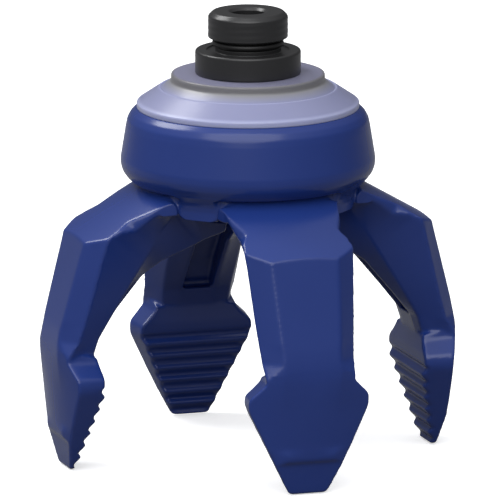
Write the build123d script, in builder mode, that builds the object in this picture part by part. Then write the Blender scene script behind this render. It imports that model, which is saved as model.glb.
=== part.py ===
"""Soft vacuum gripper with four silicone fingers, in millimetres.

The origin is on the centre line, at the top shoulder of the threaded fitting.
+Z points up out of the thread, and the fingers hang down along -Z.
One finger is drawn along +X and turned to its four places.
"""

import os
from math import cos, radians, sin, tan

from build123d import *

os.makedirs("parts", exist_ok=True)

# Threaded fitting
thread_radius = 8.33
thread_bottom = 2.2
thread_top = 8.1
thread_lead_in = 1.0
bore_radius = 3.5
bore_lead_in = 0.6
neck_radius = 6.9
flange_radius = 11.0
flange_height = 5.0
flange_round = 0.5
flange_foot = 0.3
seal_recess_radius = 8.6
seal_recess_depth = 0.3
stem_radius = 6.0
retainer_radius = 8.6
retainer_height = 1.6

# O-ring under the thread
ring_outer_radius = 7.5
ring_section = 1.5
ring_clearance = 0.03

# Lid of the suction chamber
lid_disc_radius = 16.0
lid_disc_height = 1.5
lid_slope = 32.6
lid_thickness = 3.5
lid_rim_setback = 0.15
lid_rim_height = 1.15
lid_rim_round = 0.4
lid_hole_clearance = 0.1
lid_lip = 0.2

# Collar: the bulb around the suction chamber
collar_height = 15.6
collar_top_radius = 23.3
shoulder_drop = 3.7
shoulder_radius = 25.4
bulge_drop = 10.5
bulge_radius = 26.5
groove_radius = 22.9
underside_height = 1.3
underside_radius = 25.2
collar_bow = 0.12
collar_wall = 2.5
skirt_height = 4.4

# Flexing root of each finger
finger_count = 4
root_clearance = 0.3
hinge_offset = 0.7
root_radius = 2.7
root_half_width = 13.2
root_height = 3.6

# Arm of a finger, out from the groove: half-widths of its top, its sides and its inner wall edges
arm_slope = 30.1
arm_reach = 15.0
arm_bevel = 2.4
arm_root_flat = 12.4
arm_root_wall = 8.4
arm_middle_reach = 7.3
arm_middle_flat = 9.6
arm_middle_half_width = 10.95
arm_middle_bevel = 3.2
arm_middle_wall = 8.0
arm_end_setback = 2.4
arm_end_flat = 10.4
arm_end_half_width = 12.0
arm_end_wall = 7.9

# Shank, down from the knuckle
shank_length = 22.0
shank_spread = 5.85
shank_foot_length = 2.8
knuckle_flat = 7.3
knuckle_half_width = 11.65
knuckle_wall = 7.9
shank_middle_share = 0.557
shank_middle_flat = 6.65
shank_middle_half_width = 10.8
shank_middle_wall = 7.8
shank_low_share = 0.9
shank_low_flat = 6.2
shank_low_half_width = 10.15
shank_low_wall = 7.5
foot_flat = 6.05
foot_half_width = 9.75
foot_wall = 7.2
shank_chamfer = 3.4
foot_chamfer = 2.95

# Keel under the arch: slope of each section, its depth from the outer face, and the keel's height
keel_half_width = 4.0
root_tilt = 49.2
root_depth = 16.4
root_keel_height = 10.2
arm_middle_tilt = 47.5
arm_middle_depth = 14.8
arm_middle_keel_height = 5.1
arm_end_tilt = 40.1
arm_end_depth = 17.25
arm_end_keel_height = 3.85
knuckle_tilt = 33.6
knuckle_depth = 16.2
knuckle_keel_height = 2.8
shank_middle_tilt = 18.3
shank_middle_depth = 11.5
shank_middle_keel_height = 1.5
shank_low_tilt = 7.5
shank_low_depth = 8.9
foot_depth = 8.2
foot_keel_height = 0.5

# Inner end of the keel, and the place where it passes under the flexing root
keel_end_radius = 5.8
keel_end_height = 2.4
keel_end_half_width = 3.9
keel_end_keel_height = 1.4
keel_root_radius = 16.2
keel_root_half_width = 8.4
keel_root_rise = 2.4
keel_root_tilt = 61.2
keel_root_depth = 10.6
keel_root_keel_height = 6.2

# Pocket moulded up into the keel
pocket_half_width = 3.2
pocket_depth = 3.6
pocket_start_radius = 8.5
pocket_foot_depth = 2.2

# Gripping pad at the end of each finger
pad_length = 25.0
ear_half_width = 13.45
ear_drop = 3.5
ear_height = 2.8
ear_round = 2.6
ear_fillet = 1.5
ear_side_draft = 8.0
tip_half_width = 4.4
tip_round = 1.2
pad_depth = 11.0
step_rise = 8.0
step_setback = 1.55
step_depth = 0.85
tip_setback = 3.55
tip_thickness = 1.65
tip_edge_round = 0.6
foot_facet_angle = 38.6
pad_facet_angle = 19.0
step_flat = 5.0
ear_thickness = 8.8
ear_inner_groove = 0.8
ear_inner_drop = 6.4
rib_count = 7
rib_depth = 1.2
rib_valley_share = 0.38
first_rib_drop = 7.85
first_rib_thickness = 9.35

# Floor of the suction chamber
floor_thickness = 1.0
floor_centre_depth = 8.8
floor_slope = 15.1
floor_clearance = 0.3

# Heights that follow from the sizes above
flange_bottom = -flange_height
lid_top = flange_bottom
lid_disc_bottom = lid_top - lid_disc_height
lid_rim_radius = collar_top_radius - lid_rim_setback
lid_cone_drop = (lid_rim_radius - lid_disc_radius) * tan(radians(lid_slope))
lid_rim_top = lid_disc_bottom - lid_cone_drop
collar_top = lid_rim_top - lid_rim_height
groove_level = collar_top - collar_height
skirt_bottom = groove_level - skirt_height
root_top = groove_level - root_clearance
hinge_radius = groove_radius - hinge_offset
hinge_level = root_top - root_radius

knuckle_radius = groove_radius + arm_reach
knuckle_level = root_top - arm_reach * tan(radians(arm_slope))
shank_bottom = knuckle_level - shank_length
pad_top_level = shank_bottom - shank_foot_length
pad_bottom = pad_top_level - pad_length
pad_top_radius = knuckle_radius + shank_spread
tip_radius = pad_top_radius - tip_setback
floor_underside = groove_level - floor_centre_depth
chamber_radius = groove_radius - collar_wall


def arm_top(radius):
    """Height of the cone that bounds the top of the arms."""
    return root_top - (radius - groove_radius) * tan(radians(arm_slope))


def floor_height(radius):
    """Height of the underside of the chamber floor."""
    return floor_underside + radius * tan(radians(floor_slope))


# Fitting: thread blank, O-ring groove, flange, stem and retainer in one turned piece
ring_centre_radius = ring_outer_radius - ring_section / 2
ring_level = thread_bottom - ring_clearance - ring_section / 2
ring_groove_radius = ring_outer_radius - ring_section - ring_clearance
ring_groove_bottom = ring_level - ring_section / 2 - ring_clearance
retainer_top = lid_top - lid_thickness
retainer_bottom = retainer_top - retainer_height

with BuildPart() as fitting:
    with BuildSketch(Plane.XZ):
        with BuildLine():
            Polyline(
                (bore_radius, retainer_bottom),
                (bore_radius, thread_top - bore_lead_in),
                (bore_radius + bore_lead_in, thread_top),
                (thread_radius - thread_lead_in, thread_top),
                (thread_radius, thread_top - thread_lead_in),
                (thread_radius, thread_bottom + thread_lead_in / 2),
                (thread_radius - thread_lead_in, thread_bottom),
                (ring_groove_radius, thread_bottom),
                (ring_groove_radius, ring_groove_bottom),
                (neck_radius, ring_groove_bottom),
                (neck_radius, -seal_recess_depth),
                (seal_recess_radius, -seal_recess_depth),
                (seal_recess_radius, 0),
                (flange_radius - flange_round, 0),
            )
            RadiusArc(
                (flange_radius - flange_round, 0),
                (flange_radius, -flange_round),
                flange_round,
            )
            Polyline(
                (flange_radius, -flange_round),
                (flange_radius, flange_bottom + flange_foot),
                (flange_radius - flange_foot, flange_bottom),
                (stem_radius, flange_bottom),
                (stem_radius, retainer_top),
                (retainer_radius, retainer_top),
                (retainer_radius, retainer_bottom),
                (bore_radius, retainer_bottom),
            )
        make_face()
    revolve(axis=Axis.Z)

with BuildPart() as o_ring:
    with BuildSketch(Plane.XZ):
        with Locations((ring_centre_radius, ring_level)):
            Circle(ring_section / 2)
    revolve(axis=Axis.Z)

# Lid: a disc under the flange that widens in a cone to the rim on the collar
lid_inner_radius = collar_top_radius - collar_wall - lid_lip

with BuildPart() as lid:
    with BuildSketch(Plane.XZ):
        with BuildLine():
            Polyline(
                (stem_radius + lid_hole_clearance, lid_top),
                (lid_disc_radius, lid_top),
                (lid_disc_radius, lid_disc_bottom),
                (lid_rim_radius, lid_rim_top),
                (lid_rim_radius, collar_top),
                (lid_inner_radius, collar_top),
                (lid_disc_radius - lid_disc_height, retainer_top),
                (stem_radius + lid_hole_clearance, retainer_top),
                close=True,
            )
        make_face()
    revolve(axis=Axis.Z)
    rim_edge = lid.edges().filter_by(GeomType.CIRCLE).sort_by(SortBy.RADIUS)[-2:].sort_by(Axis.Z)[-1]
    fillet(rim_edge, lid_rim_round)

# Collar: a hollow bulb with a skirt that is left standing between the fingers
shoulder_level = collar_top - shoulder_drop
bulge_level = collar_top - bulge_drop
underside_level = groove_level + underside_height
notch_half_width = root_half_width + root_clearance


def bowed_arc(start, end):
    """Arc that bows outwards between two points of the bulb's outline."""
    across, down = end[0] - start[0], end[1] - start[1]
    middle = ((start[0] + end[0]) / 2, (start[1] + end[1]) / 2)
    crown = (middle[0] - collar_bow * down, middle[1] + collar_bow * across)
    ThreePointArc(start, crown, end)


def bulb_outline(inset):
    """Half outline of the bulb from its top rim to the groove, moved in by the wall."""
    top = (collar_top_radius - inset, collar_top)
    shoulder = (shoulder_radius - inset, shoulder_level)
    bulge = (bulge_radius - inset, bulge_level)
    underside = (underside_radius - inset, underside_level)
    groove = (groove_radius - inset, groove_level)
    bowed_arc(top, shoulder)
    Line(shoulder, bulge)
    bowed_arc(bulge, underside)
    bowed_arc(underside, groove)
    return top, groove


with BuildPart() as collar:
    with BuildSketch(Plane.XZ):
        with BuildLine():
            outer_top, outer_groove = bulb_outline(0)
            inner_top, inner_groove = bulb_outline(collar_wall)
            Line(outer_top, inner_top)
            Polyline(
                outer_groove,
                (groove_radius, skirt_bottom),
                (chamber_radius, skirt_bottom),
                inner_groove,
            )
        make_face()
    revolve(axis=Axis.Z)
    with BuildSketch(Plane.XY.offset(groove_level)):
        with PolarLocations(groove_radius, finger_count):
            Rectangle(
                2 * (groove_radius - notch_half_width),
                2 * notch_half_width,
            )
    extrude(amount=-2 * skirt_height, mode=Mode.SUBTRACT)

# Floor of the chamber: a thin shallow cone that hangs between the four keels
floor_half_span = hinge_radius - root_radius - 2 * floor_clearance

with BuildPart() as chamber_floor:
    with BuildSketch(Plane.XZ):
        with BuildLine():
            Polyline(
                (0, floor_underside),
                (chamber_radius, floor_height(chamber_radius)),
                (chamber_radius, floor_height(chamber_radius) + floor_thickness),
                (0, floor_underside + floor_thickness),
                close=True,
            )
        make_face()
    revolve(axis=Axis.Z)
    with BuildSketch(Plane.XY.offset(floor_underside)):
        Rectangle(2 * floor_half_span, 2 * floor_half_span)
    extrude(amount=2 * floor_centre_depth, mode=Mode.INTERSECT)


class Station:
    """One cross-section of a finger, on a line that slopes from its outer face to its keel."""

    def __init__(self, outer, tilt, depth, flat, side, bevel, wall, keel_height, keel_width):
        self.outer = outer
        self.slope = (-cos(radians(tilt)), -sin(radians(tilt)))
        self.depth = depth
        self.half_outline = [
            (flat, 0),
            (side, bevel),
            (wall, depth - keel_height),
            (keel_width, depth),
        ]

    def at_depth(self, depth):
        """Point on the section's line, this far in from the outer face, as radius and height."""
        return (self.outer[0] + depth * self.slope[0], self.outer[1] + depth * self.slope[1])

    def plane(self):
        """Plane of the section, with its local Y running from the outer face to the keel."""
        return Plane(
            origin=(self.outer[0], 0, self.outer[1]),
            x_dir=(0, 1, 0),
            z_dir=(self.slope[1], 0, -self.slope[0]),
        )

    def outline(self):
        """Eight corners of the section: flat, bevel, inner wall edge and keel on both sides."""
        return self.half_outline + [(-x, y) for x, y in reversed(self.half_outline)]


def shank_point(share):
    """Point on the shank's outer face, this share of the way down from the knuckle."""
    return (knuckle_radius + share * shank_spread, knuckle_level - share * shank_length)


# The loft stands proud of the cone and of the chamber floor by this much, and is then cut to both
cover = 0.8
keel_end_top = floor_height(keel_end_radius) + cover
keel_end_depth = cover + floor_clearance + keel_end_height
arm_middle_radius = groove_radius + arm_middle_reach
arm_end_radius = knuckle_radius - arm_end_setback

# Sections from the inner end of the keel, over the arm and the knuckle, to the shank's foot
keel_end = Station(
    (keel_end_radius, keel_end_top), 90, keel_end_depth,
    keel_end_half_width - cover, keel_end_half_width, cover,
    keel_end_half_width - cover / 8, keel_end_keel_height, keel_end_half_width - cover,
)
keel_root = Station(
    (keel_root_radius, floor_height(keel_root_radius) + keel_root_rise), keel_root_tilt, keel_root_depth,
    keel_root_half_width - cover / 4, keel_root_half_width, cover,
    keel_root_half_width - cover / 8, keel_root_keel_height, keel_half_width,
)
arm_root = Station(
    (groove_radius, root_top + cover), root_tilt, root_depth,
    arm_root_flat, root_half_width, arm_bevel,
    arm_root_wall, root_keel_height, keel_half_width,
)
arm_middle = Station(
    (arm_middle_radius, arm_top(arm_middle_radius) + cover / 3), arm_middle_tilt, arm_middle_depth,
    arm_middle_flat, arm_middle_half_width, arm_middle_bevel,
    arm_middle_wall, arm_middle_keel_height, keel_half_width,
)
arm_end = Station(
    (arm_end_radius, arm_top(arm_end_radius) + 2.75 * cover), arm_end_tilt, arm_end_depth,
    arm_end_flat, arm_end_half_width, arm_bevel,
    arm_end_wall, arm_end_keel_height, keel_half_width,
)
knuckle = Station(
    shank_point(0), knuckle_tilt, knuckle_depth,
    knuckle_flat, knuckle_half_width, shank_chamfer,
    knuckle_wall, knuckle_keel_height, keel_half_width,
)
shank_middle = Station(
    shank_point(shank_middle_share), shank_middle_tilt, shank_middle_depth,
    shank_middle_flat, shank_middle_half_width, shank_chamfer,
    shank_middle_wall, shank_middle_keel_height, keel_half_width,
)
shank_low = Station(
    shank_point(shank_low_share), shank_low_tilt, shank_low_depth,
    shank_low_flat, shank_low_half_width, shank_chamfer,
    shank_low_wall, foot_keel_height, keel_half_width,
)
foot = Station(
    (pad_top_radius, pad_top_level), 0, foot_depth,
    foot_flat, foot_half_width, foot_chamfer,
    foot_wall, foot_keel_height, keel_half_width,
)
stations = [keel_end, keel_root, arm_root, arm_middle, arm_end, knuckle, shank_middle, shank_low, foot]

# Pocket: a slot with a sloped floor that follows the keel from the arch to the shank's foot
pocket_stations = [arm_root, arm_middle, arm_end, knuckle, shank_middle, shank_low]
keel_end_bottom = keel_end_top - keel_end_depth
pocket_side = [
    (pocket_start_radius, keel_end_bottom - pocket_depth),
    (pocket_start_radius + pocket_depth / 4, keel_end_bottom + pocket_depth / 8),
]
pocket_side += [station.at_depth(station.depth - pocket_depth) for station in pocket_stations[:-1]]
pocket_side += [shank_low.at_depth(shank_low_depth - pocket_foot_depth)]
pocket_side += [station.at_depth(station.depth + pocket_depth) for station in reversed(pocket_stations)]

with BuildPart() as pocket:
    with BuildSketch(Plane.XZ):
        with BuildLine():
            Polyline(*pocket_side, close=True)
        make_face()
    extrude(amount=pocket_half_width, both=True)

# Pad outline as seen from outside: ears at the top, then a straight taper to the tip
ear_level = pad_top_level - ear_drop
ear_bottom = ear_level - ear_height
gusset_top = pad_top_level + ear_fillet
step_level = pad_bottom + step_rise
step_radius = pad_top_radius - step_setback
ear_inner_radius = pad_top_radius - ear_thickness
ear_inner_bottom = pad_top_level - ear_inner_drop
first_rib_radius = pad_top_radius - first_rib_thickness
last_rib_radius = tip_radius - tip_thickness
first_rib_level = pad_top_level - first_rib_drop
last_rib_level = pad_bottom + tip_edge_round
rib_pitch = (first_rib_level - last_rib_level) / (rib_count - 1)
rib_shift = (last_rib_radius - first_rib_radius) / (rib_count - 1)
half_outline = [
    (foot_half_width, gusset_top),
    (foot_half_width, pad_top_level),
    (ear_half_width, ear_level),
    (ear_half_width, ear_bottom),
    (tip_half_width, pad_bottom),
]
mirrored_outline = [(-x, z) for x, z in reversed(half_outline)]
corner_radii = [ear_fillet, ear_round, ear_round, tip_round]


def rib_tip(index):
    """Tip of a rib on the gripping face, as radius and height."""
    return (first_rib_radius + index * rib_shift, first_rib_level - index * rib_pitch)


def rib_valley(index):
    """Valley above a rib, as radius and height."""
    radius, level = rib_tip(index - rib_valley_share)
    return (radius + rib_depth, level)


# Side facets of the pad: sections of what is cut away beside its flat centre
facet_reach = 2 * ear_half_width - foot_flat
facet_sections = [
    (gusset_top, pad_top_radius, foot_flat, foot_facet_angle),
    (pad_top_level, pad_top_radius, foot_flat, foot_facet_angle),
    (ear_level - ear_height / 3, pad_top_radius, foot_flat, pad_facet_angle),
    (step_level, step_radius, step_flat, pad_facet_angle),
    (pad_bottom - tip_edge_round, step_radius, tip_half_width, pad_facet_angle),
]

with BuildPart() as facet_cutter:
    for level, radius, flat, angle in facet_sections:
        with BuildSketch(Plane.XY.offset(level)):
            with BuildLine():
                Polyline(
                    (radius, flat),
                    (radius + pad_depth, flat),
                    (radius + pad_depth, flat + facet_reach),
                    (radius - facet_reach * tan(radians(angle)), flat + facet_reach),
                    close=True,
                )
            make_face()
    loft(ruled=True)
    mirror(about=Plane.XZ)

# Pad: ears at the top, then a straight taper to the tip, with ribs on the gripping face
with BuildPart() as pad:
    with BuildSketch(Plane.YZ.offset(pad_top_radius)):
        with BuildLine():
            FilletPolyline(*half_outline, *mirrored_outline, radius=corner_radii + corner_radii[::-1])
            Line(half_outline[0], mirrored_outline[-1])
        make_face()
    extrude(amount=-pad_depth, taper=ear_side_draft)

    with BuildSketch(Plane.XZ):
        with BuildLine():
            Polyline(
                (pad_top_radius - foot_depth, pad_top_level),
                (pad_top_radius - foot_depth / 2, gusset_top),
                (pad_top_radius, gusset_top),
                (pad_top_radius, pad_top_level - ear_fillet),
                (step_radius, step_level),
                (step_radius - step_depth, step_level - step_depth),
                (tip_radius, pad_bottom + tip_edge_round),
            )
            ThreePointArc(
                (tip_radius, pad_bottom + tip_edge_round),
                (tip_radius - tip_thickness / 2, pad_bottom),
                (tip_radius - tip_thickness, pad_bottom + tip_edge_round),
            )
            for index in reversed(range(1, rib_count)):
                Polyline(rib_tip(index), rib_valley(index), rib_tip(index - 1))
            Polyline(
                rib_tip(0),
                (ear_inner_radius + ear_inner_groove, ear_inner_bottom),
                (ear_inner_radius, ear_inner_bottom + ear_inner_groove),
                (ear_inner_radius, ear_level),
                (pad_top_radius - foot_depth, pad_top_level),
            )
        make_face()
    extrude(amount=2 * ear_half_width, both=True, mode=Mode.INTERSECT)
    add(facet_cutter.part, mode=Mode.SUBTRACT)

# One finger along +X: arm and shank as one loft, the pad, and the pocket in the keel
with BuildPart() as finger:
    for station in stations:
        with BuildSketch(station.plane()):
            with BuildLine():
                Polyline(*station.outline(), close=True)
            make_face()
    loft(ruled=True)

    with BuildSketch(Plane.XZ):
        with BuildLine():
            Polyline(
                (hinge_radius - root_radius, root_top),
                (groove_radius, root_top),
                (groove_radius, root_top - root_height),
                (hinge_radius - root_radius, root_top - root_height),
                close=True,
            )
        make_face()
    extrude(amount=root_half_width, both=True)

    with BuildSketch(Plane.XZ):
        with BuildLine():
            Polyline(
                (0, arm_top(0)),
                (pad_top_radius, arm_top(0)),
                (pad_top_radius, arm_top(pad_top_radius)),
                close=True,
            )
        make_face()
    revolve(axis=Axis.Z, mode=Mode.SUBTRACT)

    with BuildSketch(Plane.XZ):
        with BuildLine():
            Polyline(
                (hinge_radius - root_radius, hinge_level),
                (floor_half_span, floor_height(floor_half_span) - floor_clearance),
                (0, floor_height(0) - floor_clearance),
                (0, root_top + arm_reach),
                (groove_radius, root_top + arm_reach),
                (groove_radius, root_top),
                (hinge_radius, root_top),
            )
            RadiusArc(
                (hinge_radius, root_top),
                (hinge_radius - root_radius, hinge_level),
                -root_radius,
            )
        make_face()
    extrude(amount=2 * root_half_width, both=True, mode=Mode.SUBTRACT)
    add(pad.part)

    add(pocket.part, mode=Mode.SUBTRACT)

finger_angles = {"finger_right": 0, "finger_back": 90, "finger_left": 180, "finger_front": 270}

fitting.part.label = "fitting"
o_ring.part.label = "o_ring"
lid.part.label = "lid"
collar.part.label = "collar"
chamber_floor.part.label = "chamber_floor"
export_step(fitting.part, "parts/fitting.step")
export_step(o_ring.part, "parts/o_ring.step")
export_step(lid.part, "parts/lid.step")
export_step(collar.part, "parts/collar.step")
export_step(chamber_floor.part, "parts/chamber_floor.step")

for name, angle in finger_angles.items():
    with BuildPart() as turned_finger:
        with Locations(Location((0, 0, 0), (0, 0, angle))):
            add(finger.part)
    turned_finger.part.label = name
    export_step(turned_finger.part, f"parts/{name}.step")
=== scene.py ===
"""Looks of a soft vacuum gripper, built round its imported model.

The blue moulding is shown by a soft-edged skin over each finger and over the collar.
The lid, the threaded fitting and its seal ring are surfaces of revolution, and the chamber
floor is a shallow cone. Lengths are in millimetres, which MM turns to metres, and angles in
degrees.
"""

import logging
from dataclasses import dataclass
from enum import Enum
from math import cos, inf, pi, radians, sin, tan

import bmesh
import bpy
import numpy as np
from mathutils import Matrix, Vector
from mathutils.bvhtree import BVHTree


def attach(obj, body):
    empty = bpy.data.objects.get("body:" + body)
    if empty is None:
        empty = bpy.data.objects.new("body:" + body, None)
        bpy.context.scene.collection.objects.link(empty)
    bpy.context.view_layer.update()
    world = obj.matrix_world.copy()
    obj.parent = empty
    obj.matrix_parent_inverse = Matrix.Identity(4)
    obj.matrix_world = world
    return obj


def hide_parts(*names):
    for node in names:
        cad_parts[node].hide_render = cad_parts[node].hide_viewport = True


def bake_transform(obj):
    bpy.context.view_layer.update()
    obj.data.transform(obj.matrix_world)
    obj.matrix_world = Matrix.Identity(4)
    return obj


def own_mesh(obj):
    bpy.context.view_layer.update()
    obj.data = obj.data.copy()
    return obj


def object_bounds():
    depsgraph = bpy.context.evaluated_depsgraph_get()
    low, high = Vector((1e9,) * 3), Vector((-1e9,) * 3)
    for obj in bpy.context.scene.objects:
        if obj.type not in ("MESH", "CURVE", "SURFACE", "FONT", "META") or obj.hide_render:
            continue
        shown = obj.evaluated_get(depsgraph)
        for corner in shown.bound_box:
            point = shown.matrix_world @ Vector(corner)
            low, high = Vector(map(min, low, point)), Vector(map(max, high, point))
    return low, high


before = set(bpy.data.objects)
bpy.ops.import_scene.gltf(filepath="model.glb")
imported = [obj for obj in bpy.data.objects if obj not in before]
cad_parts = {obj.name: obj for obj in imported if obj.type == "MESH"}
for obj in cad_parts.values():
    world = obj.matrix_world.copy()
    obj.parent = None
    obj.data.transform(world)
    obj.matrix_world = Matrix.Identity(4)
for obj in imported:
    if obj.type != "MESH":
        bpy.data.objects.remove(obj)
cad_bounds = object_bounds()

log = logging.getLogger("gripper")
MM = 0.001


class Slot(Enum):
    """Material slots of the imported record."""

    FITTING = "fitting_plastic"
    SEAL = "seal_rubber"
    LID = "clear_silicone"
    MOULDING = "blue_silicone"


class Side(Enum):
    """The four fingers, each with its turn about the centre line in degrees."""

    RIGHT = 0
    BACK = 90
    LEFT = 180
    FRONT = 270

    @property
    def node(self) -> str:
        """Name of the finger's node and body."""
        return f"finger_{self.name.lower()}"


def linear(hex_colour: str) -> tuple[float, float, float, float]:
    """Turn an sRGB hex colour to linear light.

    A channel up to 0.04045 is divided by 12.92. Above that, 0.055 is added, the sum is divided
    by 1.055 and raised to the power 2.4.

    Args:
        hex_colour: Colour as #RRGGBB.

    Returns:
        Red, green, blue and full opacity.
    """
    parts = np.array([int(hex_colour[i:i + 2], 16) / 255 for i in (1, 3, 5)])
    low = parts / 12.92
    high = ((parts + 0.055) / 1.055) ** 2.4
    red, green, blue = np.where(parts <= 0.04045, low, high)
    return float(red), float(green), float(blue), 1.0


def add_object(name: str, data: bpy.types.ID) -> bpy.types.Object:
    """Add an object that shows a mesh, light or camera to the scene."""
    added = bpy.data.objects.new(name, data)
    bpy.context.scene.collection.objects.link(added)
    return added


def bare_tree(owner: bpy.types.Material | bpy.types.World) -> bpy.types.NodeTree:
    """Node tree of a material or world, cleared of what Blender puts there."""
    owner.use_nodes = True
    owner.node_tree.nodes.clear()
    return owner.node_tree


def add_node(
    tree: bpy.types.NodeTree,
    kind: str,
    settings: dict | None = None,
    links: dict | None = None,
) -> bpy.types.Node:
    """Add a node with its settings and links.

    Args:
        tree: Node tree to add to.
        kind: Blender's type name of the node.
        settings: Values by the name of a node property, or by the name or number of a socket.
        links: Output sockets by the name or number of the input that each goes to.

    Returns:
        The new node.
    """
    node = tree.nodes.new(kind)
    for key, value in (settings or {}).items():
        if isinstance(key, str) and hasattr(node, key):
            setattr(node, key, value)
        else:
            node.inputs[key].default_value = value
    for key, source in (links or {}).items():
        tree.links.new(source, node.inputs[key])
    return node


@dataclass(frozen=True)
class Finish:
    """What every finish has: a name, a gloss and a fine surface texture."""

    name: str
    colour: str
    roughness: float
    ior: float
    grain_mm: float
    grain_height_mm: float
    grain_detail: float = 3.0
    grain_roughness: float = 0.5

    def colour_socket(
        self, tree: bpy.types.NodeTree, place: bpy.types.NodeSocket,
    ) -> bpy.types.NodeSocket | None:
        """Colour pattern of the finish.

        Args:
            tree: Node tree of the material.
            place: Socket that gives the place on the object.

        Returns:
            The socket that gives the colour, or None where one colour is all there is.
        """
        return None

    def dress_shader(self, shader: bpy.types.Node) -> None:
        """Set what only this finish has on the shader's own sockets."""

    def material(self) -> bpy.types.Material:
        """Build a node material that reads Object coordinates only."""
        material = bpy.data.materials.new(self.name)
        tree = bare_tree(material)
        place = add_node(tree, "ShaderNodeTexCoord").outputs["Object"]
        grain = add_node(
            tree, "ShaderNodeTexNoise",
            {"Scale": 1 / (self.grain_mm * MM), "Detail": self.grain_detail,
             "Roughness": self.grain_roughness},
            {"Vector": place},
        )
        bump = add_node(
            tree, "ShaderNodeBump",
            {"Strength": 1.0, "Distance": self.grain_height_mm * MM},
            {"Height": grain.outputs[0]},
        )
        shader = add_node(
            tree, "ShaderNodeBsdfPrincipled",
            {"Base Color": linear(self.colour), "Roughness": self.roughness, "IOR": self.ior},
            {"Normal": bump.outputs["Normal"]},
        )
        colour = self.colour_socket(tree, place)
        if colour is not None:
            tree.links.new(colour, shader.inputs["Base Color"])
        self.dress_shader(shader)
        add_node(tree, "ShaderNodeOutputMaterial", links={"Surface": shader.outputs["BSDF"]})
        return material


@dataclass(frozen=True)
class MouldedSilicone(Finish):
    """Silicone rubber from a polished mould: deep colour, soft gloss, a faint cloudiness."""

    cloud_colour: str = "#1F3578"
    cloud_mm: float = 9.0
    cloud_detail: float = 2.0
    cloud_roughness: float = 0.55

    def colour_socket(self, tree: bpy.types.NodeTree, place: bpy.types.NodeSocket) -> bpy.types.NodeSocket:
        """Cloudy drift between two shades, as pigment leaves in a thick moulding."""
        cloud = add_node(
            tree, "ShaderNodeTexNoise",
            {"Scale": 1 / (self.cloud_mm * MM), "Detail": self.cloud_detail,
             "Roughness": self.cloud_roughness},
            {"Vector": place},
        )
        # A Mix node takes its two colours at sockets 6 and 7 and gives the mixed one at 2.
        mix = add_node(
            tree, "ShaderNodeMix",
            {"data_type": "RGBA", 6: linear(self.colour), 7: linear(self.cloud_colour)},
            {0: cloud.outputs[0]},
        )
        return mix.outputs[2]


@dataclass(frozen=True)
class ClearSilicone(Finish):
    """Translucent silicone: milky and greyer on the disc round the fitting, with painted light in bands.

    The places are distances from the centre line, where the disc's colour ends, the disc's edge
    with its painted shade, the neck with its painted grey sheen, the cone, the raised line with its
    painted highlight, the cone on both sides of its plain band, and the rim with its painted highlight.
    """

    disc_colour: str = "#7A7A91"
    # Painted shade: the darker grey of the disc's edge band.
    edge_shade_colour: str = "#6B6A6C"
    # Painted sheen: the grey band where the cone leaves the disc.
    neck_sheen_colour: str = "#86868B"
    # Painted highlight: the paler colour of the raised line and of the rim.
    line_highlight_colour: str = "#9A9EBE"
    places_mm: tuple[float, ...] = (15.2, 15.9, 16.3, 18.0, 18.35, 18.7, 22.3, 23.0)
    reach_mm: float = 24.0
    soak_share: float = 0.35
    soak_colours: tuple[float, float, float] = (1.0, 1.0, 1.3)
    soak_mm: float = 1.5

    def colour_socket(self, tree: bpy.types.NodeTree, place: bpy.types.NodeSocket) -> bpy.types.NodeSocket:
        """Drift by distance from the centre line, with painted highlights as paler lines at ring and rim."""
        level_out = (1, 1, 0)
        flat = add_node(
            tree, "ShaderNodeVectorMath",
            {"operation": "MULTIPLY", 1: level_out}, {0: place},
        )
        radius = add_node(
            tree, "ShaderNodeVectorMath", {"operation": "LENGTH"}, {0: flat.outputs["Vector"]},
        )
        share = add_node(
            tree, "ShaderNodeMath",
            {"operation": "DIVIDE", 1: self.reach_mm * MM}, {0: radius.outputs["Value"]},
        )
        drift = add_node(tree, "ShaderNodeValToRGB", links={0: share.outputs[0]})
        # Painted light by place: shade on the disc's edge, grey sheen at the neck, highlights at the line
        # and rim.
        colours = (
            self.disc_colour, self.edge_shade_colour, self.neck_sheen_colour,
            self.colour, self.line_highlight_colour, self.colour, self.colour, self.line_highlight_colour,
        )
        stops = drift.color_ramp.elements
        halfway = 0.5
        while len(stops) < len(colours):
            stops.new(halfway)
        for stop, at, colour in zip(stops, self.places_mm, colours):
            stop.position = at / self.reach_mm
            stop.color = linear(colour)
        return drift.outputs["Color"]

    def dress_shader(self, shader: bpy.types.Node) -> None:
        """Let light soak in and come out again, as in a milky rubber."""
        shader.inputs["Subsurface Weight"].default_value = self.soak_share
        shader.inputs["Subsurface Radius"].default_value = self.soak_colours
        shader.inputs["Subsurface Scale"].default_value = self.soak_mm * MM


@dataclass(frozen=True)
class TurnedPlastic(Finish):
    """Black glass-filled nylon, turned: an even satin, as the tool's rings are too fine to be seen."""

    shine: float = 0.45

    def dress_shader(self, shader: bpy.types.Node) -> None:
        """Lower the shine a little, as the fibres in the plastic do."""
        shader.inputs["Specular IOR Level"].default_value = self.shine


@dataclass(frozen=True)
class SealRubber(Finish):
    """Black nitrile rubber of an O-ring: dull, smooth and very dark."""


BLUE = MouldedSilicone(
    "blue_moulded_silicone", "#1C3274", roughness=0.22, ior=1.43, grain_mm=0.5, grain_height_mm=0.001,
)
CLEAR = ClearSilicone(
    "milky_clear_silicone", "#8285A5", roughness=0.30, ior=1.43, grain_mm=0.6, grain_height_mm=0.0015,
)
BLACK = TurnedPlastic(
    "black_turned_nylon", "#222223", roughness=0.3, ior=1.50, grain_mm=0.3, grain_height_mm=0.001,
)
NITRILE = SealRubber(
    "black_nitrile_rubber", "#0D0D0E", roughness=0.42, ior=1.48, grain_mm=0.3, grain_height_mm=0.002,
)


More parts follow.
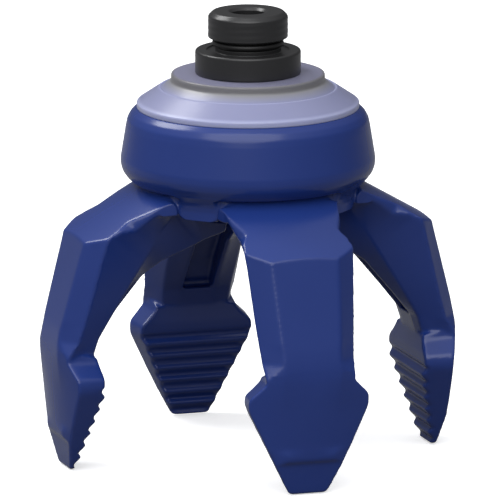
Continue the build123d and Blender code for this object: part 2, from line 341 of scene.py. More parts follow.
def ramp(place: np.ndarray, start: float, end: float) -> np.ndarray:
    """Share that grows evenly from 0 at the start to 1 at the end.

    Args:
        place: Where the share is wanted.
        start: Place of the share 0.
        end: Place of the share 1, which may lie below the start.

    Returns:
        The distance from the start over the whole distance, kept between 0 and 1.
    """
    return np.clip((place - start) / (end - start), 0, 1)


def eased(place: np.ndarray, start: float, end: float) -> np.ndarray:
    """Even share made level at both ends: three times its square less twice its cube."""
    share = ramp(place, start, end)
    return share * share * (3 - 2 * share)


def rounded_line(corners: np.ndarray, radii: np.ndarray, step: float, closed: bool) -> np.ndarray:
    """Replace each corner of a polygon by a circular arc and divide what lies between.

    An arc starts and ends where both of its sides are one tangent length from the corner,
    which is the radius times the tangent of half the turn.

    Args:
        corners: Corner points, one row each.
        radii: Radius at each corner, 0 for a sharp one.
        step: Longest distance between two points of the result.
        closed: Whether the last corner joins the first.

    Returns:
        Points along the rounded line, one row each.
    """
    # The slack keeps a span that just fits in one piece.
    fewest, slack = 3, 1e-6
    count = len(corners)
    points = []
    for i in range(count):
        here = corners[i]
        ends = not closed and i in (0, count - 1)
        if ends or radii[i] <= 0:
            points.append(here)
            continue
        back = corners[i - 1] - here
        ahead = corners[(i + 1) % count] - here
        back /= np.linalg.norm(back)
        ahead /= np.linalg.norm(ahead)
        half = np.arccos(np.clip(back @ ahead, -1, 1)) / 2
        middle = back + ahead
        middle /= np.linalg.norm(middle)
        centre = here + middle * radii[i] / np.sin(half)
        first = here + back * radii[i] / np.tan(half) - centre
        last = here + ahead * radii[i] / np.tan(half) - centre
        turn = pi - 2 * half
        number = max(fewest, int(np.ceil(turn * radii[i] / step)) + 1)
        share = np.linspace(0, 1, number)[:, None]
        arc = (np.sin((1 - share) * turn) * first + np.sin(share * turn) * last) / np.sin(turn)
        points.extend(centre + arc)
    line = np.array(points)
    if closed:
        line = np.vstack([line, line[:1]])
    spans = np.linalg.norm(np.diff(line, axis=0), axis=1)
    pieces = np.maximum(1, np.ceil(spans / step - slack)).astype(int)
    keys = np.concatenate([i + np.arange(n) / n for i, n in enumerate(pieces)] + [[len(spans)]])
    columns = [np.interp(keys, np.arange(len(line)), line[:, k]) for k in range(line.shape[1])]
    result = np.stack(columns, axis=1)
    return result[:-1] if closed else result


def grid_object(name: str, points: np.ndarray) -> bpy.types.Object:
    """Make an object from a grid of points whose rows and columns both close on themselves.

    Each point is joined with the next one in its row and the next one in its column, so four
    neighbours make one face.

    Args:
        name: Name of the object.
        points: Points in millimetres as rows by columns by 3.

    Returns:
        The object, smooth shaded, with its faces pointing outwards.
    """
    rows, columns = points.shape[:2]
    row = np.arange(rows)[:, None]
    column = np.arange(columns)[None, :]
    next_row = (row + 1) % rows
    next_column = (column + 1) % columns
    quads = np.stack([
        row * columns + column,
        row * columns + next_column,
        next_row * columns + next_column,
        next_row * columns + column,
    ], axis=-1).reshape(-1, 4)
    mesh = bpy.data.meshes.new(name)
    mesh.vertices.add(rows * columns)
    mesh.vertices.foreach_set("co", (points * MM).astype(np.float32).ravel())
    mesh.loops.add(quads.size)
    mesh.loops.foreach_set("vertex_index", quads.astype(np.int32).ravel())
    mesh.polygons.add(len(quads))
    mesh.polygons.foreach_set("loop_start", (np.arange(len(quads)) * 4).astype(np.int32))
    mesh.polygons.foreach_set("use_smooth", np.ones(len(quads), bool))
    mesh.update(calc_edges=True)
    mesh.validate()
    return add_object(name, mesh)


def revolved(profile: np.ndarray, columns: int) -> np.ndarray:
    """Turn a profile about the centre line.

    Each point (radius, height) goes to (radius cos a, radius sin a, height) for every angle a.

    Args:
        profile: Radius and height of each point, in order.
        columns: How many angles share the full turn.

    Returns:
        Grid of points as rows by columns by 3.
    """
    angle = np.arange(columns) * 2 * pi / columns
    radius = profile[:, :1]
    height = np.broadcast_to(profile[:, 1:2], (len(profile), columns))
    return np.stack([radius * np.cos(angle), radius * np.sin(angle), height], axis=-1)


def dress(piece: bpy.types.Object, material: bpy.types.Material, nodes: list[str]) -> None:
    """Give a piece its material and the nodes that it stands for.

    Args:
        piece: Object to dress.
        material: Material that the whole piece gets.
        nodes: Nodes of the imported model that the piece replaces.
    """
    piece.data.materials.clear()
    piece.data.materials.append(material)
    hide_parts(*nodes)


@dataclass
class ThreadedFitting:
    """Turned fitting: bore, fine thread, seal groove, flange and the foot inside the chamber."""

    thread_radius: float = 8.33
    thread_bottom: float = 2.2
    thread_top: float = 8.1
    thread_pitch: float = 1.337
    thread_depth: float = 0.05
    thread_fade: float = 0.3
    thread_band: float = 0.02
    thread_roundness: float = 0.97
    lead_in: float = 1.0
    bore_radius: float = 3.5
    bore_lead_in: float = 0.6
    neck_radius: float = 6.9
    groove_radius: float = 5.97
    groove_top: float = 2.2
    groove_bottom: float = 0.64
    recess_radius: float = 8.6
    recess_depth: float = 0.3
    flange_radius: float = 11.0
    flange_bottom: float = -5.0
    stem_radius: float = 6.0
    foot_radius: float = 8.6
    foot_top: float = -8.5
    foot_bottom: float = -10.1
    fine_round: float = 0.0875
    edge_round: float = 0.35
    flange_round: float = 0.49
    lead_in_round: float = 0.8
    steps_per_pitch: int = 9
    columns: int = 200

    def section(self) -> np.ndarray:
        """Closed section of the fitting as radii and heights, with eased edges.

        Each corner has a radius from the centre line, a height and a rounding.
        """
        fine, edge, lead_in = self.fine_round, self.edge_round, self.lead_in_round
        corners = np.array([
            (self.bore_radius, self.foot_bottom, fine),
            (self.bore_radius, self.thread_top - self.bore_lead_in, fine),
            (self.bore_radius + self.bore_lead_in, self.thread_top, edge),
            (self.thread_radius - self.lead_in, self.thread_top, lead_in),
            (self.thread_radius, self.thread_top - self.lead_in, lead_in),
            (self.thread_radius, self.thread_bottom + self.lead_in / 2, edge),
            (self.thread_radius - self.lead_in, self.thread_bottom, fine),
            (self.groove_radius, self.groove_top, fine),
            (self.groove_radius, self.groove_bottom, fine),
            (self.neck_radius, self.groove_bottom, fine),
            (self.neck_radius, -self.recess_depth, fine),
            (self.recess_radius, -self.recess_depth, fine),
            (self.recess_radius, 0, fine),
            (self.flange_radius, 0, self.flange_round),
            (self.flange_radius, self.flange_bottom, edge),
            (self.stem_radius, self.flange_bottom, fine),
            (self.stem_radius, self.foot_top, fine),
            (self.foot_radius, self.foot_top, fine),
            (self.foot_radius, self.foot_bottom, fine),
        ])
        step = self.thread_pitch / self.steps_per_pitch
        return rounded_line(corners[:, :2], corners[:, 2], step, closed=True)

    def cut_thread(self, grid: np.ndarray) -> np.ndarray:
        """Cut the thread into the grid.

        A point on the thread's cylinder moves in by the depth times a rounded triangle wave of
        height over pitch less the turn, which makes one helix. The cut fades out at both ends.
        """
        radius = np.hypot(grid[..., 0], grid[..., 1])
        turn = np.arctan2(grid[..., 1], grid[..., 0]) / (2 * pi)
        height = grid[..., 2]
        start = self.thread_bottom + self.lead_in / 2
        end = self.thread_top - self.lead_in
        fade = ramp(height, start, start + self.thread_fade) * ramp(height, end, end - self.thread_fade)
        fade *= radius > self.thread_radius - self.thread_band
        helix = np.cos(2 * pi * (height / self.thread_pitch - turn))
        wave = np.arccos(self.thread_roundness * helix) / pi
        scale = (radius - self.thread_depth * fade * wave) / radius
        cut = grid.copy()
        cut[..., :2] *= scale[..., None]
        return cut

    def build(self) -> bpy.types.Object:
        """Build the fitting, on the root body."""
        grid = self.cut_thread(revolved(self.section()[::-1], self.columns))
        piece = grid_object("threaded_fitting", grid)
        dress(piece, BLACK.material(), ["fitting"])
        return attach(piece, "root")


@dataclass
class SealRing:
    """O-ring under the thread, with the faint line of its mould's parting plane."""

    outer_radius: float = 7.5
    section: float = 1.5
    level: float = 1.42
    flash: float = 0.03
    flash_turn: float = 0.95 * pi
    flash_width: float = 0.12
    rows: int = 40
    columns: int = 160

    def build(self) -> bpy.types.Object:
        """Build the ring, on the root body: a circle with a low ridge on its inner side, revolved.

        The ridge's height falls by the exponential of the square of the angle from its middle.
        """
        around = np.arange(self.rows) * 2 * pi / self.rows
        ridge = self.flash * np.exp(-((around - self.flash_turn) / self.flash_width) ** 2)
        half = self.section / 2 - self.flash + ridge
        centre = self.outer_radius - self.section / 2
        profile = np.stack([centre + half * np.cos(around), self.level + half * np.sin(around)], axis=1)
        piece = grid_object("seal_ring", revolved(profile, self.columns))
        dress(piece, NITRILE.material(), ["o_ring"])
        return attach(piece, "root")


@dataclass
class ChamberLid:
    """Milky lid: a disc under the flange, a cone with one ring round it, and a thin rim."""

    hole_radius: float = 6.1
    disc_radius: float = 16.0
    disc_top: float = -5.0
    disc_bottom: float = -6.5
    ring_radius: float = 18.4
    ring_height: float = 0.28
    rim_radius: float = 23.15
    rim_top: float = -11.07
    rim_bottom: float = -12.22
    inner_radius: float = 20.6
    wall_bottom: float = -8.5
    wall_setback: float = 1.5
    fine_round: float = 0.1
    edge_round: float = 0.15
    ring_round: float = 0.2
    wall_round: float = 0.3
    disc_round: float = 0.35
    rim_round: float = 0.4
    neck_round: float = 0.5
    step: float = 0.35
    columns: int = 240

    def section(self) -> np.ndarray:
        """Closed section of the lid as radii and heights, from the hole round and back.

        Each corner has a radius from the centre line, a height and a rounding.
        """
        slope = (self.rim_top - self.disc_bottom) / (self.rim_radius - self.disc_radius)
        ring_level = self.disc_bottom + slope * (self.ring_radius - self.disc_radius)
        corners = np.array([
            (self.hole_radius, self.disc_top, self.fine_round),
            (self.disc_radius, self.disc_top, self.disc_round),
            (self.disc_radius, self.disc_bottom, self.neck_round),
            (self.ring_radius - self.ring_height, ring_level - self.ring_height / 2, self.edge_round),
            (self.ring_radius, ring_level + self.ring_height / 2, self.ring_round),
            (self.rim_radius, self.rim_top, self.rim_round),
            (self.rim_radius, self.rim_bottom, self.edge_round),
            (self.inner_radius, self.rim_bottom, self.fine_round),
            (self.disc_radius - self.wall_setback, self.wall_bottom, self.wall_round),
            (self.hole_radius, self.wall_bottom, self.fine_round),
        ])
        return rounded_line(corners[:, :2], corners[:, 2], self.step, closed=True)

    def build(self) -> bpy.types.Object:
        """Build the lid, on the root body."""
        piece = grid_object("chamber_lid", revolved(self.section(), self.columns))
        dress(piece, CLEAR.material(), ["lid"])
        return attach(piece, "root")


def relax(points: np.ndarray, edges: np.ndarray, passes: np.ndarray) -> np.ndarray:
    """Soften a mesh: in each pass a point moves halfway to the mean of its neighbours.

    Args:
        points: Vertex positions.
        edges: Vertex numbers at both ends of each edge.
        passes: How many passes each vertex takes part in.

    Returns:
        The softened positions.
    """
    count = len(points)
    ends = np.concatenate([edges[:, 0], edges[:, 1]])
    others = np.concatenate([edges[:, 1], edges[:, 0]])
    degree = np.bincount(ends, minlength=count)[:, None]
    for turn in range(int(passes.max())):
        sums = np.stack([np.bincount(ends, points[others, k], minlength=count) for k in range(3)], axis=1)
        moves = (passes > turn)[:, None] / 2
        points = points + moves * (sums / degree - points)
    return points


@dataclass(frozen=True)
class Region:
    """Part of a finger that is softened by its own number of passes.

    Its limits are radii from the centre line, half-widths from the finger's middle, and heights.
    """

    name: str
    passes: int
    radii: tuple[float, float] = (-inf, inf)
    half_widths: tuple[float, float] = (-inf, inf)
    levels: tuple[float, float] = (-inf, inf)

    def holds(self, points: np.ndarray) -> np.ndarray:
        """True for each point of a finger along +X that lies between all three pairs of limits."""
        places = (points[:, 0], np.abs(points[:, 1]), points[:, 2])
        limits = (self.radii, self.half_widths, self.levels)
        return np.all([(place > low) & (place < high) for place, (low, high) in zip(places, limits)], axis=0)


@dataclass
class FingerSkin:
    """Soft-edged skin of a finger: arm, shank with its pocket, and the ribbed pad.

    The finger lies along +X, so a radius is a distance from the centre line, a half-width one
    from the finger's middle, and a level a height.
    """

    voxel: float = 0.3
    weld: float = 0.001
    passes: int = 4
    regions: tuple[Region, ...] = (
        Region("bevels of the shank", 10, radii=(36.0, inf), half_widths=(-inf, 9.5), levels=(-60.0, -38.0)),
        Region("sides of the arm", 9, radii=(-inf, 33.0), half_widths=(8.5, inf), levels=(-40.0, inf)),
        Region("corners of the root", 8, radii=(-inf, 25.0), half_widths=(11.5, inf), levels=(-33.5, inf)),
        Region("step line at the tip", 6, radii=(39.5, inf), levels=(-80.0, -77.0)),
    )
    rib_passes: int = 8
    rib_top: float = -67.5
    rib_inner: float = 36.9
    rib_slope: float = 0.19
    root_radii: tuple[float, ...] = (18.8, 22.1, 26.0)
    root_half_widths: tuple[float, ...] = (13.4, 12.3, 11.7)
    root_level: float = -33.0
    face_levels: tuple[float, ...] = (-50.0, -58.6, -62.6, -78.1)
    face_radii: tuple[float, ...] = (41.41, 43.68, 43.75, 42.2)
    face_bend: float = 3.5
    bend_samples: int = 15
    face_inner: float = 30.0
    face_top: float = -54.0
    face_top_fade: float = 2.0
    face_bottom: float = -77.5
    face_bottom_fade: float = 1.5
    face_depth: float = 5.0
    face_shifts: tuple[float, float] = (-1.2, 1.8)
    flat_half_width: float = 6.05
    crease_top: float = -58.0
    crease_spread: float = 0.62
    crease_slope: float = 0.8
    facet_slope: float = 0.344
    facet_end: float = -70.0
    face_curve: float = 36.0
    ray_start: float = 60.0
    ray_shares: tuple[float, ...] = (1.0, 0.96)
    plug_inner: float = 18.3
    plug_outer: float = 22.85
    plug_half_width: float = 13.0
    plug_top: float = -27.4
    plug_bottom: float = -31.6
    plug_steps: int = 36
    blend_start: tuple[float, float] = (22.0, -28.0)
    blend_end: tuple[float, float] = (24.0, -32.5)

    def plug_mesh(self) -> bpy.types.Mesh:
        """Part of a ring that closes the slit between the finger's root and the collar, in metres.

        Its rectangular section (radius, height) goes to (radius cos a, radius sin a, height) for
        angles a from one side to the other, and both ends are closed.
        """
        reach = np.arcsin(self.plug_half_width / self.plug_outer)
        angle = np.linspace(-reach, reach, self.plug_steps + 1)
        section = np.array([
            (self.plug_inner, self.plug_bottom),
            (self.plug_outer, self.plug_bottom),
            (self.plug_outer, self.plug_top),
            (self.plug_inner, self.plug_top),
        ])
        radius = section[:, 0] * np.ones((len(angle), 1))
        height = section[:, 1] * np.ones((len(angle), 1))
        turned = angle[:, None]
        points = np.stack([radius * np.cos(turned), radius * np.sin(turned), height], axis=-1)
        sides = len(section)
        row = np.arange(self.plug_steps)[:, None] * sides
        side = np.arange(sides)[None, :]
        after = (side + 1) % sides
        corners = [row + side, row + after, row + sides + after, row + sides + side]
        quads = np.stack(corners, axis=-1).reshape(-1, sides)
        last = sides * self.plug_steps
        ends = [(3, 2, 1, 0), (last, last + 1, last + 2, last + 3)]
        plug = bpy.data.meshes.new("plug")
        plug.from_pydata((points.reshape(-1, 3) * MM).tolist(), [], quads.tolist() + ends)
        return plug

    def remeshed(self) -> bpy.types.Mesh:
        """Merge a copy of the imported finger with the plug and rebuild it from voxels, in metres."""
        form = bmesh.new()
        form.from_mesh(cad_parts[Side.RIGHT.node].data)
        bmesh.ops.remove_doubles(form, verts=form.verts, dist=self.weld * MM)
        plug = self.plug_mesh()
        form.from_mesh(plug)
        solid = bpy.data.meshes.new("finger_form")
        form.to_mesh(solid)
        holder = add_object("finger_form", solid)
        remesh = holder.modifiers.new("voxels", "REMESH")
        remesh.mode = "VOXEL"
        remesh.voxel_size = self.voxel * MM
        remesh.adaptivity = 0.0
        seen = holder.evaluated_get(bpy.context.evaluated_depsgraph_get())
        result = bpy.data.meshes.new_from_object(seen)
        bpy.data.objects.remove(holder)
        bpy.data.meshes.remove(plug)
        bpy.data.meshes.remove(solid)
        form.free()
        return result

    def trim_root(self, points: np.ndarray) -> np.ndarray:
        """Draw the corners of the root in to the ring that the arm springs from.

        The half-width may not pass a line that falls with the distance from the centre line.
        """
        limit = np.interp(points[:, 0], self.root_radii, self.root_half_widths)
        near = (points[:, 0] < self.root_radii[-1]) & (points[:, 2] > self.root_level)
        trimmed = points.copy()
        trimmed[:, 1] = np.where(near, np.clip(points[:, 1], -limit, limit), points[:, 1])
        return trimmed

    def face_radii_at(self, points: np.ndarray) -> np.ndarray:
        """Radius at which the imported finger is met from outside, at the height of each point.

        A ray runs inwards to each point. Where it misses at an edge, one a little nearer to the
        middle is taken, and where that misses too, the point's own radius stands. Rays can only be
        sent one by one, so this is a loop.
        """
        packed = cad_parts[Side.RIGHT.node].data
        corners = [vertex.co for vertex in packed.vertices]
        tree = BVHTree.FromPolygons(corners, [tuple(face.vertices) for face in packed.polygons])
        start, inwards = self.ray_start * MM, Vector((-1, 0, 0))
        radii = points[:, 0].copy()
        for i, (across, level) in enumerate((points[:, 1:] * MM).tolist()):
            for nearer in self.ray_shares:
                place = tree.ray_cast(Vector((start, across * nearer, level)), inwards)[0]
                if place is not None:
                    radii[i] = place.x / MM
                    break
        return radii

    def face_fall(self, across: np.ndarray, level: np.ndarray) -> np.ndarray:
        """How far the outer face falls back from its middle line, across the finger.

        The larger of two amounts holds. The first starts as plane facets beside a flat, and turns
        into the half-width squared over twice the curve's radius further down. The second is a
        bevel whose inner edge runs outwards on its way down.

        Args:
            across: Half-width of each point.
            level: Height of each point.
        """
        share = eased(level, self.crease_top, self.facet_end)
        facet = np.maximum(across - self.flat_half_width, 0) * self.facet_slope
        curve = (1 - share) * facet + share * across ** 2 / (2 * self.face_curve)
        edge = self.flat_half_width + self.crease_spread * np.maximum(self.crease_top - level, 0)
        bevel = np.maximum(across - edge, 0) * self.crease_slope
        return np.maximum(curve, bevel)

    def shape_face(self, points: np.ndarray) -> np.ndarray:
        """Give the pad's outer face its gentle curve, and end the shank's bevels on a slant.

        Down the finger, the face follows a broken line that gives way to its own mean over a few
        millimetres. Across the finger, it falls back from that line. The difference from the
        packed finger moves a point on the face in full and fades to nothing with its depth under
        the face.
        """
        between = (points[:, 2] < self.face_top) & (points[:, 2] > self.face_bottom)
        near = between & (points[:, 0] > self.face_inner)
        chosen = points[near]
        across, level = np.abs(chosen[:, 1]), chosen[:, 2]
        spread = np.linspace(-self.face_bend, self.face_bend, self.bend_samples)[:, None]
        middle = np.interp(spread - level, -np.array(self.face_levels), self.face_radii).mean(axis=0)
        packed = self.face_radii_at(chosen)
        shift = np.clip(middle - self.face_fall(across, level) - packed, *self.face_shifts)
        top = ramp(level, self.face_top, self.face_top - self.face_top_fade)
        bottom = ramp(level, self.face_bottom, self.face_bottom + self.face_bottom_fade)
        fade = np.clip(1 - (packed - chosen[:, 0]) / self.face_depth, 0, 1)
        shaped = points.copy()
        shaped[near, 0] += shift * fade * top * bottom
        return shaped

    def passes_at(self, points: np.ndarray) -> np.ndarray:
        """Settle how often each point is softened.

        The ribs lie under the pad's top and inside a slanted line, and every region has its own
        limits.
        """
        passes = np.full(len(points), self.passes)
        inner = self.rib_inner - self.rib_slope * (points[:, 2] - self.rib_top)
        passes[(points[:, 2] < self.rib_top) & (points[:, 0] < inner)] = self.rib_passes
        for region in self.regions:
            passes[region.holds(points)] = region.passes
        return passes

    def softened(self) -> tuple[np.ndarray, bpy.types.Mesh]:
        """Shape and soften the finger along +X.

        Returns:
            Positions in millimetres, and the mesh that they belong to.
        """
        mesh = self.remeshed()
        points = np.zeros(len(mesh.vertices) * 3)
        mesh.vertices.foreach_get("co", points)
        points = points.reshape(-1, 3) / MM
        edges = np.zeros(len(mesh.edges) * 2, np.int32)
        mesh.edges.foreach_get("vertices", edges)
        passes = self.passes_at(points)
        points = self.shape_face(self.trim_root(points))
        return relax(points, edges.reshape(-1, 2), passes), mesh

    def build(self) -> list[bpy.types.Object]:
        """Build the four skins, each turned to its place."""
        points, mesh = self.softened()
        material = BLUE.material()
        made = []
        for side in Side:
            turn = radians(side.value)
            turned = points.copy()
            turned[:, 0] = points[:, 0] * cos(turn) - points[:, 1] * sin(turn)
            turned[:, 1] = points[:, 0] * sin(turn) + points[:, 1] * cos(turn)
            skin = mesh.copy()
            skin.name = f"{side.node}_skin"
            skin.vertices.foreach_set("co", (turned * MM).astype(np.float32).ravel())
            skin.polygons.foreach_set("use_smooth", np.ones(len(skin.polygons), bool))
            skin.update()
            piece = add_object(f"{side.node}_skin", skin)
            dress(piece, material, [side.node])
            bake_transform(piece)
            made.append(piece)
        bpy.data.meshes.remove(mesh)
        return made


@dataclass
class CollarSkin:
    """Bulb round the suction chamber, with a skirt that is left standing between the fingers.

    Drops are measured down from the top, but those of the valley from the widest place. The
    edges of the notch and the valley are half-widths between which each comes in.
    """

    top: float = -12.2226
    height: float = 15.6
    top_radius: float = 23.3
    shoulder_drop: float = 3.7
    shoulder_radius: float = 25.4
    bulge_drop: float = 10.5
    bulge_radius: float = 26.5
    underside_height: float = 1.3
    underside_radius: float = 25.2
    groove_radius: float = 22.9
    wall: float = 2.5
    bow: float = 0.12
    bow_shares: tuple[float, float] = (0.33, 0.67)
    side_rounds: tuple[float, float] = (2.0, 2.4)
    shoulder_round: float = 5.0
    bulge_round: float = 4.0
    under_rounds: tuple[float, float] = (3.5, 3.0)
    waist_round: float = 1.2
    groove_round: float = 0.25
    skirt_height: float = 4.4
    skirt_round: float = 0.9
    valley_drops: tuple[float, ...] = (3.5, 4.4, 5.1, 5.8, 6.6, 7.7, 9.5)
    valley_reaches: tuple[float, ...] = (25.4, 24.75, 24.1, 23.5, 23.05, 22.8, 22.9)
    valley_start: float = 0.6
    valley_edges: tuple[float, float] = (12.7, 13.3)
    notch_edges: tuple[float, float] = (12.2, 12.55)
    step: float = 0.3
    columns: int = 480

    def outline(self) -> np.ndarray:
        """Half outline of the bulb as radii and heights, from its top rim to the skirt's lower edge.

        Each corner has a radius from the centre line, a height and a rounding.
        """
        groove = self.top - self.height
        top = (self.top_radius, self.top)
        shoulder = (self.shoulder_radius, self.top - self.shoulder_drop)
        bulge = (self.bulge_radius, self.top - self.bulge_drop)
        underside = (self.underside_radius, groove + self.underside_height)
        waist = (self.groove_radius, groove)
        first, second = self.bow_shares
        corners = np.array([
            (*top, 0),
            (*self.bowed(top, shoulder, first), self.side_rounds[0]),
            (*self.bowed(top, shoulder, second), self.side_rounds[1]),
            (*shoulder, self.shoulder_round),
            (*bulge, self.bulge_round),
            (*self.bowed(bulge, underside, first), self.under_rounds[0]),
            (*self.bowed(bulge, underside, second), self.under_rounds[1]),
            (*underside, self.waist_round),
            (*self.bowed(underside, waist, 1 / 2), self.waist_round),
            (*waist, self.groove_round),
            (self.groove_radius, groove - self.skirt_height, self.skirt_round),
            (self.groove_radius - self.wall / 2, groove - self.skirt_height, 0),
        ])
        return rounded_line(corners[:, :2], corners[:, 2], self.step, closed=False)

    def bowed(self, start: tuple, end: tuple, share: float) -> tuple[float, float]:
        """Point of a bow between two corners: it stands off the straight line by 4 s (1 - s) bows.

        Args:
            start: Radius and height of the first corner.
            end: Radius and height of the last corner.
            share: How far along the point lies, which is s.
        """
        across, down = end[0] - start[0], end[1] - start[1]
        crown = 4 * share * (1 - share) * self.bow
        return (start[0] + share * across - crown * down, start[1] + share * down + crown * across)

    def cut_notches(self, grid: np.ndarray) -> np.ndarray:
        """Open the skirt where the four fingers pass.

        Points below the groove are drawn up to it inside the notches. The share that stays is an
        eased step of the distance from the notch's middle.
        """
        groove = self.top - self.height
        across = np.minimum(np.abs(grid[..., 0]), np.abs(grid[..., 1]))
        below = np.minimum(grid[..., 2] - groove, 0)
        cut = grid.copy()
        cut[..., 2] += below * (eased(across, *self.notch_edges) - 1)
        return cut

    def fill_valleys(self, grid: np.ndarray, outer_rows: int) -> np.ndarray:
        """Let the bulb run straight on to the skirt between the notches.

        The outer surface's radius there is a broken line of the drop below the widest place.

        Args:
            grid: Points of the section with the notches in it.
            outer_rows: How many of the first rows make the outer surface.

        Returns:
            The points with the valleys filled.
        """
        across = np.minimum(np.abs(grid[..., 0]), np.abs(grid[..., 1]))
        radius = np.hypot(grid[..., 0], grid[..., 1])
        drop = self.top - self.bulge_drop - grid[..., 2]
        reach = np.interp(drop, self.valley_drops, self.valley_reaches)
        outside = np.arange(len(grid))[:, None] < outer_rows
        wide = ramp(across, *self.valley_edges)
        low = ramp(drop, self.valley_drops[0], self.valley_drops[0] + self.valley_start)
        change = outside * wide * low * (reach - radius)
        filled = grid.copy()
        filled[..., :2] *= (1 + change / radius)[..., None]
        return filled

    def build(self) -> bpy.types.Object:
        """Build the collar, on the root body: its outline and an inner wall, both revolved."""
        outer = self.outline()
        inner = outer[::-1] - np.array([self.wall, 0])
        inner[:, 0] = np.maximum(inner[:, 0], self.groove_radius - self.wall)
        grid = self.cut_notches(revolved(np.vstack([outer, inner]), self.columns))
        piece = grid_object("collar_skin", self.fill_valleys(grid, len(outer)))
        dress(piece, BLUE.material(), ["collar"])
        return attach(piece, "root")


@dataclass
class ChamberFloorSkin:
    """Thin shallow cone that closes the chamber and is drawn up when the air goes out."""

    centre_level: float = -36.62
    slope: float = 15.1
    thickness: float = 1.0
    half_span: float = 18.9
    reach: float = 20.3
    centre_share: float = 0.002
    rows: int = 40
    columns: int = 160
    drawn_up: float = 0.35

    def build(self) -> bpy.types.Object:
        """Build the floor, which the root body carries.

        In polar terms the edge lies at the smaller of the reach and the square's own edge. Height
        grows with the distance from the centre by the tangent of the slope.
        """
        angle = np.arange(self.columns) * 2 * pi / self.columns
        square = self.half_span / np.maximum(np.abs(np.cos(angle)), np.abs(np.sin(angle)))
        edge = np.minimum(square, self.reach)
        share = np.linspace(self.centre_share, 1, self.rows)
        shares = np.concatenate([share, share[::-1]])[:, None]
        lift = np.concatenate([np.zeros(self.rows), np.full(self.rows, self.thickness)])[:, None]
        radius = shares * edge
        rise = tan(radians(self.slope))
        height = self.centre_level + radius * rise + lift
        grid = np.stack([radius * np.cos(angle), radius * np.sin(angle), height], axis=-1)
        piece = grid_object("chamber_floor_skin", grid[::-1])
        dress(piece, BLUE.material(), ["chamber_floor"])
        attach(piece, "root")
        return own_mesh(piece)


@dataclass(frozen=True)
class Lamp:
    """Round soft lamp that faces the middle of the gripper.

    Its azimuth is the angle round the centre line from the front and its elevation the angle above
    the floor, both in degrees. Distance and diameter are in millimetres and its power is in watts.
    """

    name: str
    azimuth: float
    elevation: float
    distance: float
    diameter: float
    power: float


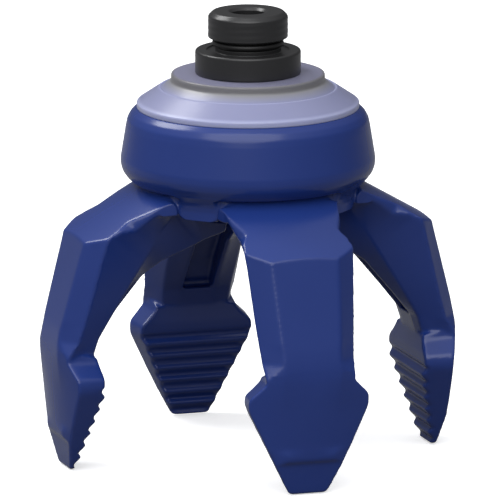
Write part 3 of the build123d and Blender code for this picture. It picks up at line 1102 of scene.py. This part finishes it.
@dataclass
class Studio:
    """Pale floor, soft lamps and a long-lens camera at the photograph's angle."""

    azimuth: float = -18.0
    elevation: float = 12.0
    view_width: float = 104.17
    centre_right: float = 0.42
    centre_level: float = -42.7
    distance: float = 3000.0
    sensor: float = 36.0
    floor_half: float = 4000.0
    floor_gap: float = 0.1
    floor_shine: float = 0.1
    floor_colour: str = "#6A6A6C"
    bright_colour: str = "#F2F2F2"
    glow_colour: str = "#FFFFFF"
    glow: float = 0.5
    room_colour: str = "#F4F5F8"
    wall_height: float = 0.2
    wall_light: float = 0.36
    ceiling_light: float = 1.2
    bright_side: float = -40.0
    bright_share: float = 1.5
    dim_share: float = 0.3
    lamps: tuple[Lamp, ...] = (
        Lamp("key_lamp", azimuth=-138, elevation=50, distance=700, diameter=340, power=2.2),
        Lamp("front_lamp", azimuth=-24, elevation=46, distance=900, diameter=1100, power=5.8),
    )

    def floor(self) -> None:
        """Lay a floor at the fingertips, bright where the camera sees it.

        To the light that reaches the gripper it is a middling grey, and a gloss or a clear piece
        sees a small share of the bright floor.
        """
        level = cad_bounds[0][2] - self.floor_gap * MM
        half = self.floor_half * MM
        mesh = bpy.data.meshes.new("floor")
        corners = [(-half, -half, level), (half, -half, level), (half, half, level), (-half, half, level)]
        mesh.from_pydata(corners, [], [(0, 1, 2, 3)])
        floor = add_object("floor", mesh)
        material = bpy.data.materials.new("pale_floor")
        tree = bare_tree(material)
        path = add_node(tree, "ShaderNodeLightPath")
        bounced = add_node(
            tree, "ShaderNodeMath", {"operation": "MAXIMUM"},
            {0: path.outputs["Is Glossy Ray"], 1: path.outputs["Is Transmission Ray"]},
        )
        seen = add_node(
            tree, "ShaderNodeMath", {"operation": "MULTIPLY_ADD", 1: self.floor_shine},
            {0: bounced.outputs[0], 2: path.outputs["Is Camera Ray"]},
        )
        plain = add_node(tree, "ShaderNodeBsdfDiffuse", {"Color": linear(self.floor_colour)})
        glow = add_node(
            tree, "ShaderNodeEmission", {"Color": linear(self.glow_colour), "Strength": self.glow},
        )
        bright = add_node(tree, "ShaderNodeBsdfDiffuse", {"Color": linear(self.bright_colour)})
        lit = add_node(tree, "ShaderNodeAddShader", links={0: bright.outputs[0], 1: glow.outputs[0]})
        mix = add_node(
            tree, "ShaderNodeMixShader",
            links={0: seen.outputs[0], 1: plain.outputs[0], 2: lit.outputs[0]},
        )
        add_node(tree, "ShaderNodeOutputMaterial", links={"Surface": mix.outputs[0]})
        mesh.materials.append(material)

    def world(self) -> None:
        """Fill the room with a pale light that grows to the ceiling and towards the bright side.

        Its strength is an eased step of the height looked at, times an even share of the angle's
        cosine from the bright side.
        """
        world = bpy.data.worlds.new("studio")
        tree = bare_tree(world)
        towards = add_node(tree, "ShaderNodeTexCoord").outputs["Generated"]
        height = add_node(tree, "ShaderNodeSeparateXYZ", links={0: towards}).outputs["Z"]
        strength = add_node(
            tree, "ShaderNodeMapRange",
            {"interpolation_type": "SMOOTHSTEP", "From Min": self.wall_height, "From Max": 1.0,
             "To Min": self.wall_light, "To Max": self.ceiling_light},
            {"Value": height},
        )
        bright = self.direction(self.bright_side, 0)
        along = add_node(
            tree, "ShaderNodeVectorMath", {"operation": "DOT_PRODUCT", 1: bright}, {0: towards},
        )
        side = add_node(
            tree, "ShaderNodeMapRange",
            {"From Min": -1.0, "From Max": 1.0, "To Min": self.dim_share, "To Max": self.bright_share},
            {"Value": along.outputs["Value"]},
        )
        total = add_node(
            tree, "ShaderNodeMath", {"operation": "MULTIPLY"}, {0: strength.outputs[0], 1: side.outputs[0]},
        )
        back = add_node(
            tree, "ShaderNodeBackground", {"Color": linear(self.room_colour)},
            {"Strength": total.outputs[0]},
        )
        add_node(tree, "ShaderNodeOutputWorld", links={"Surface": back.outputs[0]})
        bpy.context.scene.world = world

    def hang(self, lamp: Lamp) -> None:
        """Hang one lamp at its place."""
        light = bpy.data.lights.new(lamp.name, "AREA")
        light.shape = "DISK"
        light.size = lamp.diameter * MM
        light.energy = lamp.power
        hung = add_object(lamp.name, light)
        towards = self.direction(lamp.azimuth, lamp.elevation)
        middle = Vector((0, 0, self.centre_level * MM))
        hung.location = middle + towards * lamp.distance * MM
        hung.rotation_euler = towards.to_track_quat("Z", "Y").to_euler()

    @staticmethod
    def direction(azimuth: float, elevation: float) -> Vector:
        """Unit vector from the middle to a place at these angles, which are measured as a lamp's.

        It has sine and minus cosine of the azimuth, both times the cosine of the elevation, and
        the sine of the elevation.
        """
        turn, rise = radians(azimuth), radians(elevation)
        return Vector((sin(turn) * cos(rise), -cos(turn) * cos(rise), sin(rise)))

    def camera(self) -> None:
        """Set a camera far off with a long lens, as the photograph's parallel edges ask."""
        data = bpy.data.cameras.new("camera")
        data.sensor_width = self.sensor
        data.lens = self.sensor * self.distance / self.view_width
        camera = add_object("camera", data)
        towards = self.direction(self.azimuth, self.elevation)
        turn = radians(self.azimuth)
        right = Vector((cos(turn), sin(turn), 0))
        middle = right * self.centre_right * MM + Vector((0, 0, self.centre_level * MM))
        camera.location = middle + towards * self.distance * MM
        camera.rotation_euler = towards.to_track_quat("Z", "Y").to_euler()
        bpy.context.scene.camera = camera

    def build(self) -> None:
        """Set up floor, light and camera."""
        bpy.context.scene.view_settings.view_transform = "Standard"
        self.floor()
        self.world()
        for lamp in self.lamps:
            self.hang(lamp)
        self.camera()


def main() -> None:
    """Build every piece and report it."""
    pieces = [ThreadedFitting().build(), SealRing().build(), ChamberLid().build(), CollarSkin().build()]
    pieces += FingerSkin().build()
    pieces.append(ChamberFloorSkin().build())
    for piece in pieces:
        log.info("%s: %d faces", piece.name, len(piece.data.polygons))
    Studio().build()


if __name__ == "__main__":
    logging.basicConfig(level=logging.INFO)
    main()
